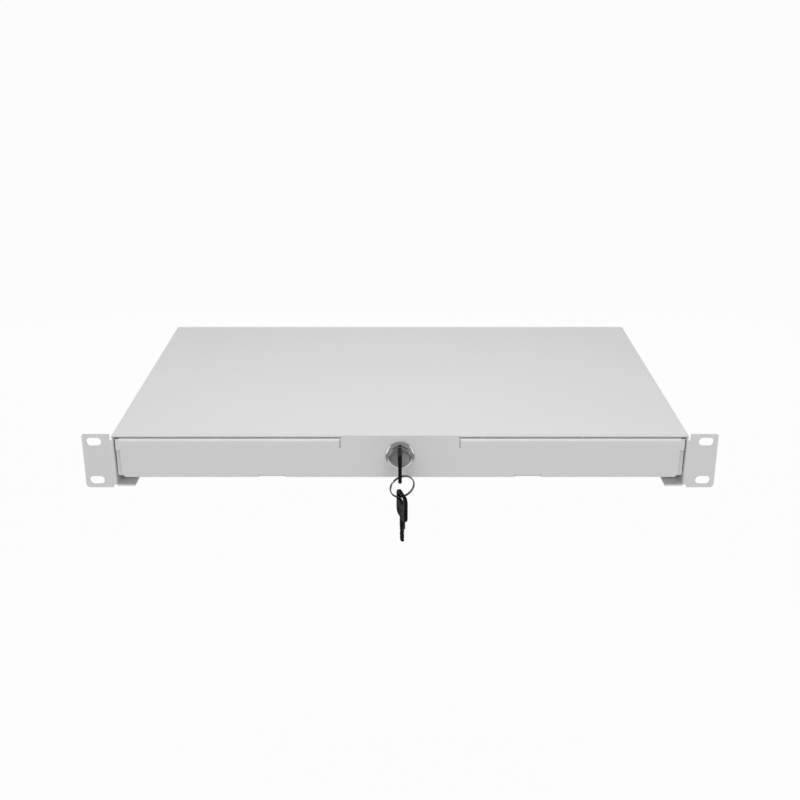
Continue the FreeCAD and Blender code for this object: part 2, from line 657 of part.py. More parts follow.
def drawer_front():
    """Panel with a wider top band, a raised middle, folded top edges and two fixing tabs."""
    band = case_width / 2 - FRONT_SIDE_GAP
    lower = band - FRONT_BAND_STEP
    raised = RAISED_WIDTH / 2
    flat_top = band_top - CASE_SHEET - BEND
    right = [(raised, cover_top + RAISED_ABOVE_COVER), (raised, flat_top), (band, flat_top)]
    right += [(band, band_bottom), (lower, band_bottom), (lower, front_bottom + FRONT_CORNER)]
    right += [(lower - FRONT_CORNER, front_bottom)]
    left = [(-x, z) for x, z in right[::-1]]
    face = outline([[point] for point in right + left], plane_xz(panel_front))
    panel = face.extrude(V(0, CASE_SHEET, 0))
    mid = panel_front / 2
    top = band_top - CASE_SHEET / 2
    corners = [(mid, flat_top - BEND), (mid, top), (FRONT_RETURN, top)]
    start = raised + RAISED_SLIT_WIDTH
    return_end = band - FRONT_RETURN_END
    top_return = sheet(folded(corners, fold), CASE_SHEET, plane_yz(start), V(return_end - start, 0, 0))
    end_ear = block(return_end, band, panel_front, 0, flat_top, band_top)
    low = front_bottom + CASE_SHEET / 2
    corners = [(mid, front_bottom + FRONT_RETURN), (mid, low), (TAB_LENGTH, low)]
    tab_start = (TAB_SPACING - TAB_WIDTH) / 2
    tab_end = (TAB_SPACING + TAB_WIDTH) / 2
    tab = sheet(folded(corners, fold), CASE_SHEET, plane_yz(tab_start), V(TAB_WIDTH, 0, 0))
    slit = block(raised, start, panel_front - PAST, PAST, band_top - RAISED_SLIT_DEPTH, band_top + PAST)
    notch = block(tab_start - TAB_RELIEF, tab_end + TAB_RELIEF, panel_front - PAST, PAST,
                  front_bottom - PAST, tab_top + BEND)
    panel = cut_all(panel, both_sides(notch) + both_sides(slit))
    panel = fuse([panel] + both_sides(top_return) + both_sides(end_ear) + both_sides(tab))
    cutters = both_sides(front_screw_hole(tap_hole))
    cutters.append(lock_body(panel_front - PAST, PAST, NUT_GAP))
    return cut_all(panel, cutters)


# ---- Lock ----
def lock_axis(y):
    return V(0, y, LOCK_HEIGHT)


def lock_window(start, end, width, height):
    """Block centred on the lock's axis."""
    return block(-width / 2, width / 2, start, end, LOCK_HEIGHT - height / 2, LOCK_HEIGHT + height / 2)


def lock_body(start, end, gap):
    """Round body with two side flats, from start to end along the axis, grown by a gap."""
    radius = BODY_DIAMETER / 2 + gap
    bar = rod(lock_axis(start), V(0, 1, 0), radius, end - start)
    return bar.common(lock_window(start, end, BODY_FLATS + 2 * gap, 2 * radius))


def lock_housing():
    rim = BEZEL_DIAMETER / 2
    profile = [(panel_front, 0), (panel_front, rim), (panel_front - BEZEL_RIM, rim)]
    profile += [(bezel_front, BEZEL_FRONT_DIAMETER / 2), (bezel_front, 0)]
    bezel = turned(profile, lock_axis(0), V(0, 1, 0))
    housing = bezel.fuse(lock_body(panel_front, BODY_LENGTH, 0)).removeSplitter()
    seat = PLUG_HEAD_DIAMETER / 2 + HEAD_CLEARANCE
    bore = PLUG_DIAMETER / 2 + PLUG_CLEARANCE
    recess = rod(lock_axis(bezel_front), V(0, 1, 0), seat, plug_head_back - bezel_front)
    barrel = rod(lock_axis(bezel_front), V(0, 1, 0), bore, BODY_LENGTH - bezel_front)
    return cut_all(housing, [recess, barrel])


def lock_washer():
    """Toothed washer under the nut."""
    outer = WASHER_DIAMETER / 2
    inner = outer - WASHER_TOOTH
    step = 360 / WASHER_TEETH
    runs = []
    for index in range(WASHER_TEETH):
        runs.append([polar((0, 0), inner, index * step)])
        runs.append([polar((0, 0), outer, (index + TOOTH_RISE) * step)])
        runs.append([polar((0, 0), outer, (index + TOOTH_FALL) * step)])
    face = outline(runs, lambda u, v: V(u, 0, LOCK_HEIGHT + v))
    hole = lock_body(-PAST, WASHER_THICKNESS + PAST, NUT_GAP)
    return face.extrude(V(0, WASHER_THICKNESS, 0)).cut(hole)


def lock_nut():
    """Hexagon nut with two flats level, chamfered on its outer side."""
    start = WASHER_THICKNESS
    corner = NUT_FLATS / 2 / math.cos(math.radians(30))
    runs = [[polar((0, 0), corner, 60 * index)] for index in range(6)]
    prism = outline(runs, lambda u, v: V(u, start, LOCK_HEIGHT + v)).extrude(V(0, NUT_THICKNESS, 0))
    flats = NUT_FLATS / 2
    profile = [(start, 0), (start, corner), (start + NUT_THICKNESS - NUT_CHAMFER, corner)]
    profile += [(start + NUT_THICKNESS, flats), (start + NUT_THICKNESS, 0)]
    nut = prism.common(turned(profile, lock_axis(0), V(0, 1, 0)))
    bore = BODY_DIAMETER / 2 + NUT_GAP
    return nut.cut(rod(lock_axis(start - PAST), V(0, 1, 0), bore, NUT_THICKNESS + 2 * PAST))


def lock_plug():
    head_edge = PLUG_HEAD_DIAMETER / 2
    core = PLUG_DIAMETER / 2
    profile = [(plug_front, 0), (plug_front, head_edge - PLUG_CHAMFER)]
    profile += [(plug_front + PLUG_CHAMFER, head_edge)]
    profile += [(plug_head_back, head_edge), (plug_head_back, core), (cam_front, core), (cam_front, 0)]
    half = PLUG_SQUARE / 2
    square = block(-half, half, cam_front, cam_back, LOCK_HEIGHT - half, LOCK_HEIGHT + half)
    plug = fuse([turned(profile, lock_axis(0), V(0, 1, 0)), square])
    cutters = [lock_window(plug_front - PAST, keyway_end, keyway_width, keyway_height)]
    for y in wafer_y:
        cutters.append(lock_window(y - WAFER_GAP, y + WAFER_THICKNESS + WAFER_GAP,
                                   wafer_width + 2 * WAFER_GAP, wafer_height + 2 * WAFER_GAP))
    cutters.append(rod(lock_axis(cam_back), V(0, -1, 0), tap_hole, cam_back - keyway_end - PLUG_END_WALL))
    return cut_all(plug, cutters)


def lock_wafers():
    plates = []
    for y in wafer_y:
        back = y + WAFER_THICKNESS
        window = lock_window(y - PAST, back + PAST, window_width, window_height)
        plates.append(lock_window(y, back, wafer_width, wafer_height).cut(window))
    return plates


def lock_cam():
    """Flat cam pointing left from the lock's axis."""
    hub = rod(lock_axis(cam_front), V(0, 1, 0), CAM_HUB_DIAMETER / 2, CAM_THICKNESS)
    half = CAM_WIDTH / 2
    arm = block(-CAM_LENGTH, 0, cam_front, cam_back, LOCK_HEIGHT - half, LOCK_HEIGHT + half)
    tip = edges_along(arm, V(0, 1, 0), lambda c: c.x < -CAM_HUB_DIAMETER / 2)
    arm = arm.makeFillet(CAM_TIP_CORNER, tip)
    hole = PLUG_SQUARE + 2 * CAM_FIT
    return fuse([hub, arm]).cut(lock_window(cam_front - PAST, cam_back + PAST, hole, hole))


def cam_screw():
    """Screw and washer that hold the cam on the plug."""
    outer = CAM_WASHER_DIAMETER / 2
    top = CAM_WASHER_THICKNESS
    profile = [(0, free_hole), (0, outer), (top, outer), (top, free_hole)]
    washer = turned(profile, lock_axis(cam_back), V(0, 1, 0))
    length = top + cam_back - keyway_end - PLUG_END_WALL - CAM_SCREW_END_GAP
    return [washer, pan_screw(lock_axis(cam_back + top), V(0, -1, 0), length)]


# ---- Keys: drawn pointing along +Y with their width along Z, the head's front end at the origin ----
def blade():
    """Key blade with cuts along both edges, a stop on one edge and its tang in the head."""
    half = KEY_BLADE_WIDTH / 2
    cuts = []
    pitch = (KEY_BLADE_LENGTH - KEY_CUT_START - KEY_TIP) / len(KEY_CUTS)
    for index, depth in enumerate(KEY_CUTS):
        middle = blade_start + KEY_CUT_START + pitch * (index + 0.5)
        cuts += [(middle - pitch / 2, half), (middle - pitch / 5, half - depth)]
        cuts += [(middle + pitch / 5, half - depth)]
    cuts += [(blade_end - KEY_TIP, half), (blade_end, half - KEY_TIP)]
    lower_cuts = [(y, -z) for y, z in cuts[::-1]]
    stop_edge = -half - KEY_STOP_WIDTH
    stop = [(blade_start, -half), (blade_start, stop_edge), (0, stop_edge), (0, -half)]
    tang = [(-KEY_TANG, -half), (-KEY_TANG, half)]
    face = outline([[point] for point in cuts + lower_cuts + stop + tang],
                   plane_yz(-KEY_THICKNESS / 2))
    return face.extrude(V(KEY_THICKNESS, 0, 0))


def rounded_bar(y0, y1, z0, z1, thickness, corner):
    bar = block(-thickness / 2, thickness / 2, y0, y1, z0, z1)
    return bar.makeFillet(corner, edges_along(bar, V(1, 0, 0), lambda c: True))


def rim_edges(shape, face_x, inside):
    """Edges round one flat face of the head, those of the slot or those of the outline."""
    found = []
    for edge in shape.Edges:
        centre = edge.BoundBox.Center
        on_face = abs(edge.BoundBox.XMin - face_x) < 1e-4 and abs(edge.BoundBox.XMax - face_x) < 1e-4
        in_slot = -HEAD_LENGTH + 0.1 < centre.y < slot_start + 0.1 and abs(centre.z) < slot_half + 0.1
        beyond = centre.y > KEY_SLOT_END_STRIP - HEAD_LENGTH - 0.1
        if on_face and (in_slot and beyond) == inside:
            found.append(edge)
    return found


def key_head():
    """Moulded head over the blade's tang, with a wide slot for the ring."""
    head = rounded_bar(-HEAD_LENGTH, 0, -HEAD_WIDTH / 2, HEAD_WIDTH / 2, HEAD_THICKNESS, HEAD_CORNER)
    slot = rounded_bar(slot_end, slot_start, -slot_half, slot_half, 3 * HEAD_THICKNESS, KEY_SLOT_CORNER)
    head = head.cut(slot)
    for face_x in (-HEAD_THICKNESS / 2, HEAD_THICKNESS / 2):
        head = head.makeChamfer(HEAD_EDGE, rim_edges(head, face_x, False))
        head = head.makeChamfer(KEY_SLOT_EDGE, rim_edges(head, face_x, True))
    return head.cut(blade())


key_place = (V(0, key_start, LOCK_HEIGHT), FreeCAD.Rotation())
strip_z = LOCK_HEIGHT - HEAD_WIDTH / 2 + KEY_SLOT_SIDE_STRIP / 2
ring_hook = V(0, key_start + slot_end + RING_END_GAP, strip_z + RING_HANG)
wire_circle = (RING_DIAMETER - RING_WIRE) / 2
ring_turn = FreeCAD.Rotation(V(0, 0, 1), RING_YAW).multiply(FreeCAD.Rotation(V(1, 0, 0), RING_LEAN))


def on_ring(degrees):
    """Way from the ring's centre to its wire, at an angle from the ring's right side."""
    u, w = polar((0, 0), wire_circle, degrees)
    return ring_turn.multVec(V(u, 0, w))


ring_centre = ring_hook - on_ring(90 + RING_HANG_ANGLE)
spare_hook = ring_centre + on_ring(SPARE_HANG_ANGLE - 90)


def key_ring():
    """Split ring: two turns of bevelled wire side by side."""
    outer = RING_DIAMETER / 2
    inner = outer - RING_WIRE
    across = [0, RING_BEVEL, RING_WIRE - RING_BEVEL, RING_WIRE]
    outside = [outer - RING_BEVEL, outer, outer, outer - RING_BEVEL]
    inside = [inner + RING_BEVEL, inner, inner, inner + RING_BEVEL]
    front = [(-x, radius) for x, radius in zip(across, outside)]
    front_bore = [(-x, radius) for x, radius in zip(across, inside)]
    profile = front[:0:-1] + list(zip(across, outside))
    profile += list(zip(across, inside))[::-1] + front_bore[1:]
    return turned(profile, ring_centre, ring_turn.multVec(V(0, 1, 0)))


# The spare key hangs point down: its length runs along -Z and its width across the ring.
spare_turn = FreeCAD.Rotation(V(0, 0, 1), SPARE_YAW).multiply(FreeCAD.Rotation(V(1, 0, 0), -90))
spare_place = (spare_hook + V(0, 0, SPARE_HANG + slot_end), spare_turn)


# ---- Fastener groups ----
def cover_screws():
    seat = case_width / 2
    length = 2 * CASE_SHEET
    screws = []
    for y in cover_screw_y:
        screws += both_sides(pan_screw(V(seat, y, cover_screw_z), V(-1, 0, 0), length))
    return screws


def outer_rail_screws():
    screws = []
    for y in rail_screw_y:
        screws += both_sides(pan_screw(V(wall_out, y, slide_z), V(-1, 0, 0), CASE_SHEET + RAIL_SHEET))
    return screws


def inner_rail_screws():
    screws = []
    for y in rail_screw_y:
        seat = V(tray_half - TRAY_SHEET, y, slide_z)
        screws += both_sides(pan_screw(seat, V(1, 0, 0), TRAY_SHEET + RAIL_SHEET))
    return screws


def front_screws():
    seat = V(TAB_SPACING / 2, FRONT_SCREW_SETBACK, tray_floor)
    return both_sides(pan_screw(seat, V(0, 0, -1), TRAY_SHEET + CASE_SHEET))


def rear_panel_rivets():
    rivets = []
    for z in RIVET_HEIGHTS:
        rivets += both_sides(rivet(wall_out, rivet_y, z, 2 * CASE_SHEET))
    return rivets


def write_pair(name, shape):
    """Write a right-hand piece and its mirror image."""
    right, left = both_sides(shape)
    write("right_" + name, [right])
    write("left_" + name, [left])


os.makedirs("parts", exist_ok=True)
write_pair("bracket", right_bracket())
write("top_cover", [top_cover()])
write("rear_panel", [rear_panel()])
write("lock_strike", [lock_strike()])
write("cover_screws", cover_screws())
write("rear_panel_rivets", rear_panel_rivets())
write("drawer_bumpers", [bumper(-BUMPER_SPACING / 2), bumper(BUMPER_SPACING / 2)])
write_pair("slide_outer_rail", outer_rail())
write("outer_rail_screws", outer_rail_screws())
write_pair("slide_middle_rail", middle_rail())
write_pair("outer_ball_cage", outer_retainer())
write("outer_balls", [half for ball in balls(OUTER_BALL_OFFSET, outer_ball_height, OUTER_BALL)
                      for half in both_sides(ball)])
write_pair("inner_ball_cage", inner_retainer())
write("inner_balls", [half for ball in balls(INNER_BALL_OFFSET, inner_ball_height, INNER_BALL)
                      for half in both_sides(ball)])
write("drawer_tray", [drawer_tray()])
write("drawer_front", [drawer_front()])
write("front_screws", front_screws())
write_pair("slide_inner_rail", inner_rail())
write("inner_rail_screws", inner_rail_screws())
write("lock_housing", [lock_housing()])
write("lock_washer", [lock_washer()])
write("lock_nut", [lock_nut()])
write("lock_plug", [lock_plug()])
write("lock_wafers", lock_wafers())
write("lock_cam", [lock_cam()])
write("cam_screw", cam_screw())
write("key_blade", [placed(blade(), *key_place)])
write("key_head", [placed(key_head(), *key_place)])
write("key_ring", [key_ring()])
write("spare_key_blade", [placed(blade(), *spare_place)])
write("spare_key_head", [placed(key_head(), *spare_place)])
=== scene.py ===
"""Looks of a sliding 19-inch rack drawer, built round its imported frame. Metres, +X right, front -Y."""
import json
import math

import bmesh
import bpy
from mathutils import Matrix, Vector


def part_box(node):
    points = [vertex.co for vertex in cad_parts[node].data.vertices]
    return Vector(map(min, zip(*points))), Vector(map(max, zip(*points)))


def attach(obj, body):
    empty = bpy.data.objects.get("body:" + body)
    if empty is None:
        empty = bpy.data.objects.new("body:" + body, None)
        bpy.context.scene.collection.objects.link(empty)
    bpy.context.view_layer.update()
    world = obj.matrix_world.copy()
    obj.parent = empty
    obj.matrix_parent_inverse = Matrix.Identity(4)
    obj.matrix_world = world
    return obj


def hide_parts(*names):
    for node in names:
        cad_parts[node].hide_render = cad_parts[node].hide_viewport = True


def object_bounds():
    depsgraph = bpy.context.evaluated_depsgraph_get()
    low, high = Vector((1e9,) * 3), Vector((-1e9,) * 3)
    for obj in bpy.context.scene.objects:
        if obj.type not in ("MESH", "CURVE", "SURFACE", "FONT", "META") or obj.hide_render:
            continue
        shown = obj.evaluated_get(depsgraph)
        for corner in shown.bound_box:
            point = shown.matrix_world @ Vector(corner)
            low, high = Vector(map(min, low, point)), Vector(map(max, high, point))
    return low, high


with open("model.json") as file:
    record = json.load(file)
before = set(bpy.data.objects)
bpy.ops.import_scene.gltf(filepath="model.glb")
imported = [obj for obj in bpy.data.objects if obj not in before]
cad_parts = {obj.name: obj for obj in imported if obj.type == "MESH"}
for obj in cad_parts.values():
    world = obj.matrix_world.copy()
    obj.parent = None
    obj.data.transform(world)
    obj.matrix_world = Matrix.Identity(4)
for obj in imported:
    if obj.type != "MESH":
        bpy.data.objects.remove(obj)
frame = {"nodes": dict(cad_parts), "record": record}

cad_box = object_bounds()

# ---- Camera ----
IMAGE_SIZE = 800             # the focal length is in pixels of an image this wide
FOCAL_PIXELS = 1142
SENSOR = 36.0
CAMERA_PLACE = (0.0, -0.800, 0.353)
CAMERA_PITCH = 20.78         # degrees below level

# ---- Studio ----
FLOOR_DROP = 0.50            # below the CAD model
FLOOR_SIZE = 80.0
FLOOR_GREY = 0.86
FLOOR_FADE = 0.96            # share of plain white in what the camera sees of the floor
WORLD_STRENGTH = 0.32        # light of the world on surfaces; the camera sees it at 1
LAMPS = (                    # name, place, target, size, power
    ("top_light", (0.0, -0.02, 0.72), (0.0, 0.06, 0.0), (0.60, 0.40), 2.7),
    ("front_light", (0.0, -1.50, 0.85), (0.0, 0.0, 0.0), (1.80, 0.50), 15.5),
    ("back_light", (0.0, 2.40, 0.22), (0.0, 0.20, 0.0), (2.20, 0.50), 8.0),
)
CARDS = (                    # grey cards that only reflections see: name, centre, size, normal, grey
    ("card_above", (0.0, -0.55, 0.70), (2.40, 2.14), (0.0, 0.0, -1.0), 0.28),
    ("card_high", (0.0, -1.62, 0.30), (4.00, 0.80), (0.0, 1.0, 0.0), 0.28),
    ("card_front", (0.0, -0.96, -0.31), (0.90, 0.52), (0.0, 1.0, 0.0), 0.24),
    ("card_plug", (0.07, -0.94, -0.43), (0.14, 0.26), (0.0, 1.0, 0.0), 0.62),
    ("card_left", (-0.45, -0.23, -0.34), (1.46, 0.44), (1.0, 0.0, 0.0), 0.24),
    ("card_right", (0.45, -0.23, -0.34), (1.46, 0.44), (-1.0, 0.0, 0.0), 0.24),
    ("card_floor", (0.0, 0.22, -0.49), (0.88, 1.94), (0.0, 0.0, 1.0), 0.66),
)

MM = 0.001

# ---- Drawer front's strips and backings, millimetres ----
PANEL_THICKNESS = 1.2
NOTCH_WIDTH = 3.0            # at each lower side of the drawer front
STRIP_REACH = 3.6            # strips behind the drawer front, beyond its lower edges
STRIP_OVERLAP = 3.8
STRIP_FIT = 0.02
STRIP_STEP = 2.2             # depth of the joggle
STRIP_JOGGLE_FRONT = (1.7, 0.3)          # where its front and back faces slope, inboard of the edge
STRIP_JOGGLE_BACK = (2.2, 0.8)
STRIP_TOP_GAP = 5.3
STRIP_CORNER = 0.9
BACKING_THICKNESS = 0.9
BACKING_CORNER = 0.6
SLIT_BACKING = (42.0, 45.95)             # beside each slit at the ends of the raised middle
SLIT_BACKING_DROP = (12.6, 2.4)          # below the top of the front
NOTCH_BACKINGS = ((86.2, 88.7), (107.3, 109.8))      # beside the notches of the fixing tabs
NOTCH_BACKING_HEIGHT = 4.3

# ---- Screws and rivets, millimetres ----
PAN_HEAD_DIAMETER = 7.6
PAN_HEAD_HEIGHT = 1.9
PAN_HEAD_BEVEL = 0.2
PAN_HEAD_SIDE = 0.75         # height where the head starts to round
PAN_HEAD_ROUND = (1.3, 0.95)             # across and up
PAN_HEAD_CROWN = (2.4, 0.05)             # in from the edge, below the top
CROSS_REACH = 2.0            # half the length and width of a bar of the cross
CROSS_HALF_WIDTH = 0.45
CROSS_DEPTH = 1.1
CROSS_TAPER = (0.55, 0.8)    # a bar's length and width at its bottom, as shares
CUT_PAST = 0.4               # a cutter ends this far outside what it cuts
SCREW_DIAMETER = 4.0
SCREW_POINT = 0.6            # length of the tapered end
SCREW_POINT_SHARE = 0.55     # radius left at the tip
SCREW_STEPS = 24
THREAD_PITCH = 0.7
THREAD_DEPTH = 0.35
THREAD_SLICES = 8            # for each turn of a thread
RIVET_HEAD_DIAMETER = 6.4
RIVET_HEAD_HEIGHT = 1.1
RIVET_HEAD_EDGE = 0.1
RIVET_CROWN_RADIUS = 1.2
RIVET_PIN = ((0.0, 0.55), (0.55, 0.55), (0.62, 0.45), (0.72, 0.4), (0.9, 0.95), (1.05, 1.06))
RIVET_PIN_RADIUS = 0.9
RIVET_DIAMETER = 3.2
RIVET_TAIL_DIAMETER = 4.4
RIVET_TAIL_HEIGHT = 1.8
SCREW_HEAD_BEYOND = 3.0      # only a head's points lie further from the axis than these
RIVET_HEAD_BEYOND = 2.6

# ---- Lock, millimetres ----
BEZEL_SEAT_DIAMETER = 16.7
BEZEL_SEAT_DEPTH = 1.7
BEZEL_BORE_RADIUS = 6.05
BEZEL_FOOT = 0.9             # straight side of the rim, with a small bevel at the panel
BEZEL_FOOT_BEVEL = 0.25
BEZEL_FOOT_OVERLAP = 1.5
BEZEL_LIP = 0.35             # flat ring between the brow and the seat
BEZEL_LIP_EDGE = ((0.18, 0.03), (0.05, 0.12), (0.0, 0.35))      # out from the seat, behind the front
BEZEL_STEPS = 96
BEZEL_FLATS = 14.0
BEZEL_BODY_DIAMETER = 16.0
BEZEL_THREAD_PITCH = 1.0
BEZEL_THREAD_DEPTH = 0.45
BEZEL_THREAD_STEPS = 72

# ---- Keys and ring, millimetres and degrees ----
HEAD_WIDTH = 22.4
HEAD_LENGTH = 20.4
HEAD_THICKNESS = 2.7
HEAD_CORNER = 4.6
# Rims of a head's outline and of its slot, as (height, inset) from the face inwards. Their heights are
# scaled to the head's half thickness.
HEAD_RIM = ((1.4, 0.55), (1.33, 0.27), (1.14, 0.10), (0.88, 0.04), (0.09, 0.04), (0.05, 0.0))
KEY_SLOT_RIM = ((-1.4, 0.22), (-1.34, 0.08), (-1.22, 0.0))
KEY_SLOT_END_STRIP = 1.6
KEY_SLOT_SIDE_STRIP = 4.0
KEY_SLOT_WIDTHS = {"key": 7.8, "spare_key": 5.4}
KEY_SLOT_CORNER = 1.1
GRIP_CENTRE = -5.0           # recess on each side of a head
GRIP_HALF = (2.6, 7.5)
GRIP_CORNER = 2.4
GRIP_DEPTH = 0.3
GRIP_SLOPE = (0.08, 0.06)
BLADE_EDGE = 0.08
GROOVE_FLOOR = 0.45          # from the blade's middle
GROOVE_SPAN = (0.55, 1.85)
GROOVE_PAST = 1.0
GROOVE_SIDE = 1.5
RING_WIRE = 0.9
RING_WIRE_FIT = (0.01, 0.02)
RING_WIRE_CORNER = 0.24
RING_STEPS = 240
RING_YAW = 21.0
RING_LEAN = 12.0
RING_KINK = 150              # where the ring's wire steps from one turn to the next
RING_KINK_HALF = 9
SPARE_YAW = 16.0

# ---- Colours, linear ----
PAINT = (0.700, 0.700, 0.702)
ZINC = (0.62, 0.63, 0.64)
SLIDE = (0.78, 0.78, 0.79)
CAGE = (0.46, 0.46, 0.47)
BALL = (0.72, 0.72, 0.73)
RUBBER = (0.022, 0.022, 0.023)
CHROME = (0.78, 0.78, 0.79)
NICKEL = (0.42, 0.41, 0.40)
BRASS = (0.60, 0.45, 0.20)
# Key blades: dark plated steel, its colour darkened further as painted shade, so the blades reflect
# dimly.
KEY_BLADE_AND_PAINTED_SHADE = (0.060, 0.060, 0.062)
PLASTIC = (0.006, 0.006, 0.0063)
# Split ring: steel wire, its colour darkened as painted shade so that its reflections come out dim.
RING = (0.21, 0.21, 0.215)


# ---- Node helpers ----
class Finish:
    """One procedural material, its textures in the part's own coordinates."""

    def __init__(self, name, metallic=0.0, roughness=0.5):
        self.material = bpy.data.materials.new(name)
        self.material.use_nodes = True
        self.tree = self.material.node_tree
        self.shader = self.tree.nodes["Principled BSDF"]
        self.shader.inputs["Metallic"].default_value = metallic
        self.shader.inputs["Roughness"].default_value = roughness
        self.place = self.tree.nodes.new("ShaderNodeTexCoord").outputs["Object"]

    def link(self, start, end):
        self.tree.links.new(start, end)

    def node(self, kind, **inputs):
        made = self.tree.nodes.new(kind)
        for name, value in inputs.items():
            made.inputs[name.replace("_", " ")].default_value = value
        return made

    def stretched(self, scale):
        """The part's coordinates, scaled by a different amount along each axis."""
        mapping = self.node("ShaderNodeMapping", Scale=scale)
        self.link(self.place, mapping.inputs["Vector"])
        return mapping.outputs["Vector"]

    def noise(self, size, detail=2.0, rough=0.5, place=None):
        """Noise whose features are about size metres across."""
        noise = self.node("ShaderNodeTexNoise", Scale=1 / size, Detail=detail, Roughness=rough)
        self.link(place or self.place, noise.inputs["Vector"])
        return noise.outputs["Fac"]

    def spread(self, factor, low=0.0, high=1.0):
        """Noise, which stays near its middle, spread out from low to high."""
        made = self.node("ShaderNodeMapRange", From_Min=0.3, From_Max=0.7, To_Min=low, To_Max=high)
        self.link(factor, made.inputs["Value"])
        return made.outputs["Result"]

    def mixed(self, factor, first, second):
        """A colour between two, each a colour or a socket."""
        made = self.tree.nodes.new("ShaderNodeMix")
        made.data_type = "RGBA"
        self.link(factor, made.inputs["Factor"])
        for socket, value in ((made.inputs[6], first), (made.inputs[7], second)):
            if isinstance(value, tuple):
                socket.default_value = (*value, 1.0)
            else:
                self.link(value, socket)
        return made.outputs[2]

    def eased_edges(self, radius):
        """Normals that round off the sharp edges by a radius."""
        made = self.node("ShaderNodeBevel", Radius=radius)
        made.samples = 4
        return made.outputs["Normal"]

    def colour(self, value):
        self.link(value, self.shader.inputs["Base Color"])

    def roughness(self, value):
        self.link(value, self.shader.inputs["Roughness"])

    def bump(self, height, distance, strength, before=None):
        """Bump the surface, on top of the normals before it."""
        made = self.node("ShaderNodeBump", Strength=strength, Distance=distance)
        self.link(height, made.inputs["Height"])
        if before:
            self.link(before, made.inputs["Normal"])
        self.link(made.outputs["Normal"], self.shader.inputs["Normal"])
        return made.outputs["Normal"]


def scaled(colour, factor):
    return tuple(part * factor for part in colour)


# ---- Materials ----
def paint_finish():
    """Fine-textured powder coat: a shallow wave, a fine grain and barely uneven colour."""
    finish = Finish("powder_coat", roughness=0.46)
    wide = finish.spread(finish.noise(size=0.16))
    tint = finish.mixed(wide, scaled(PAINT, 0.985), scaled(PAINT, 1.015))
    grain = finish.spread(finish.noise(size=0.0007, detail=3.0))
    finish.colour(finish.mixed(grain, tint, scaled(PAINT, 0.995)))
    finish.roughness(finish.spread(finish.noise(size=0.0012), low=0.40, high=0.52))
    edges = finish.eased_edges(radius=0.00035)
    wave = finish.bump(finish.noise(size=0.0016), distance=0.00003, strength=0.5, before=edges)
    fine = finish.noise(size=0.0005, detail=3.0, rough=0.6)
    finish.bump(fine, distance=0.00001, strength=0.35, before=wave)
    return finish.material


def sheet_metal_finish(name, colour, roughness, spangle):
    """Plated steel with a faint rolled grain from front to back and cloudy patches."""
    finish = Finish(name, metallic=1.0, roughness=roughness)
    rolled = finish.stretched((4.0, 0.12, 4.0))
    grain = finish.noise(size=0.0012, detail=4.0, rough=0.6, place=rolled)
    cloud = finish.spread(finish.noise(size=spangle, detail=3.0))
    tint = finish.mixed(cloud, scaled(colour, 0.90), scaled(colour, 1.06))
    finish.colour(finish.mixed(finish.spread(grain, high=0.35), tint, scaled(colour, 0.82)))
    finish.roughness(finish.spread(grain, low=roughness - 0.07, high=roughness + 0.09))
    finish.bump(grain, distance=0.000012, strength=0.35)
    return finish.material


def polished_finish(name, colour, roughness, edge_tint=1.0, eased=0.0):
    """Bright plated metal with faint haze and hairline scratches."""
    finish = Finish(name, metallic=1.0, roughness=roughness)
    finish.shader.inputs["Specular Tint"].default_value = (edge_tint, edge_tint, edge_tint, 1.0)
    haze = finish.spread(finish.noise(size=0.004, detail=3.0))
    finish.colour(finish.mixed(haze, scaled(colour, 0.94), scaled(colour, 1.03)))
    fine = finish.noise(size=0.0006, detail=4.0, rough=0.6)
    finish.roughness(finish.spread(fine, low=roughness * 0.7, high=roughness * 1.5))
    edges = finish.eased_edges(eased) if eased else None
    finish.bump(fine, distance=0.000004, strength=0.3, before=edges)
    return finish.material


def rubber_finish():
    """Dull black rubber with fine specks."""
    finish = Finish("buffer_rubber", roughness=0.72)
    speck = finish.noise(size=0.0005, detail=3.0)
    finish.colour(finish.mixed(finish.spread(speck), scaled(RUBBER, 0.8), scaled(RUBBER, 1.5)))
    finish.roughness(finish.spread(speck, low=0.62, high=0.82))
    finish.bump(speck, distance=0.00004, strength=0.4)
    return finish.material


def plastic_finish():
    """Black moulded plastic with a fine spark texture."""
    finish = Finish("key_head_plastic", roughness=0.5)
    finish.shader.inputs["Specular IOR Level"].default_value = 0.08
    speck = finish.noise(size=0.0004, detail=3.0)
    finish.colour(finish.mixed(finish.spread(speck), scaled(PLASTIC, 0.8), scaled(PLASTIC, 1.4)))
    haze = finish.noise(size=0.003, detail=3.0)
    finish.roughness(finish.spread(haze, low=0.42, high=0.58))
    finish.bump(speck, distance=0.00002, strength=0.3)
    return finish.material


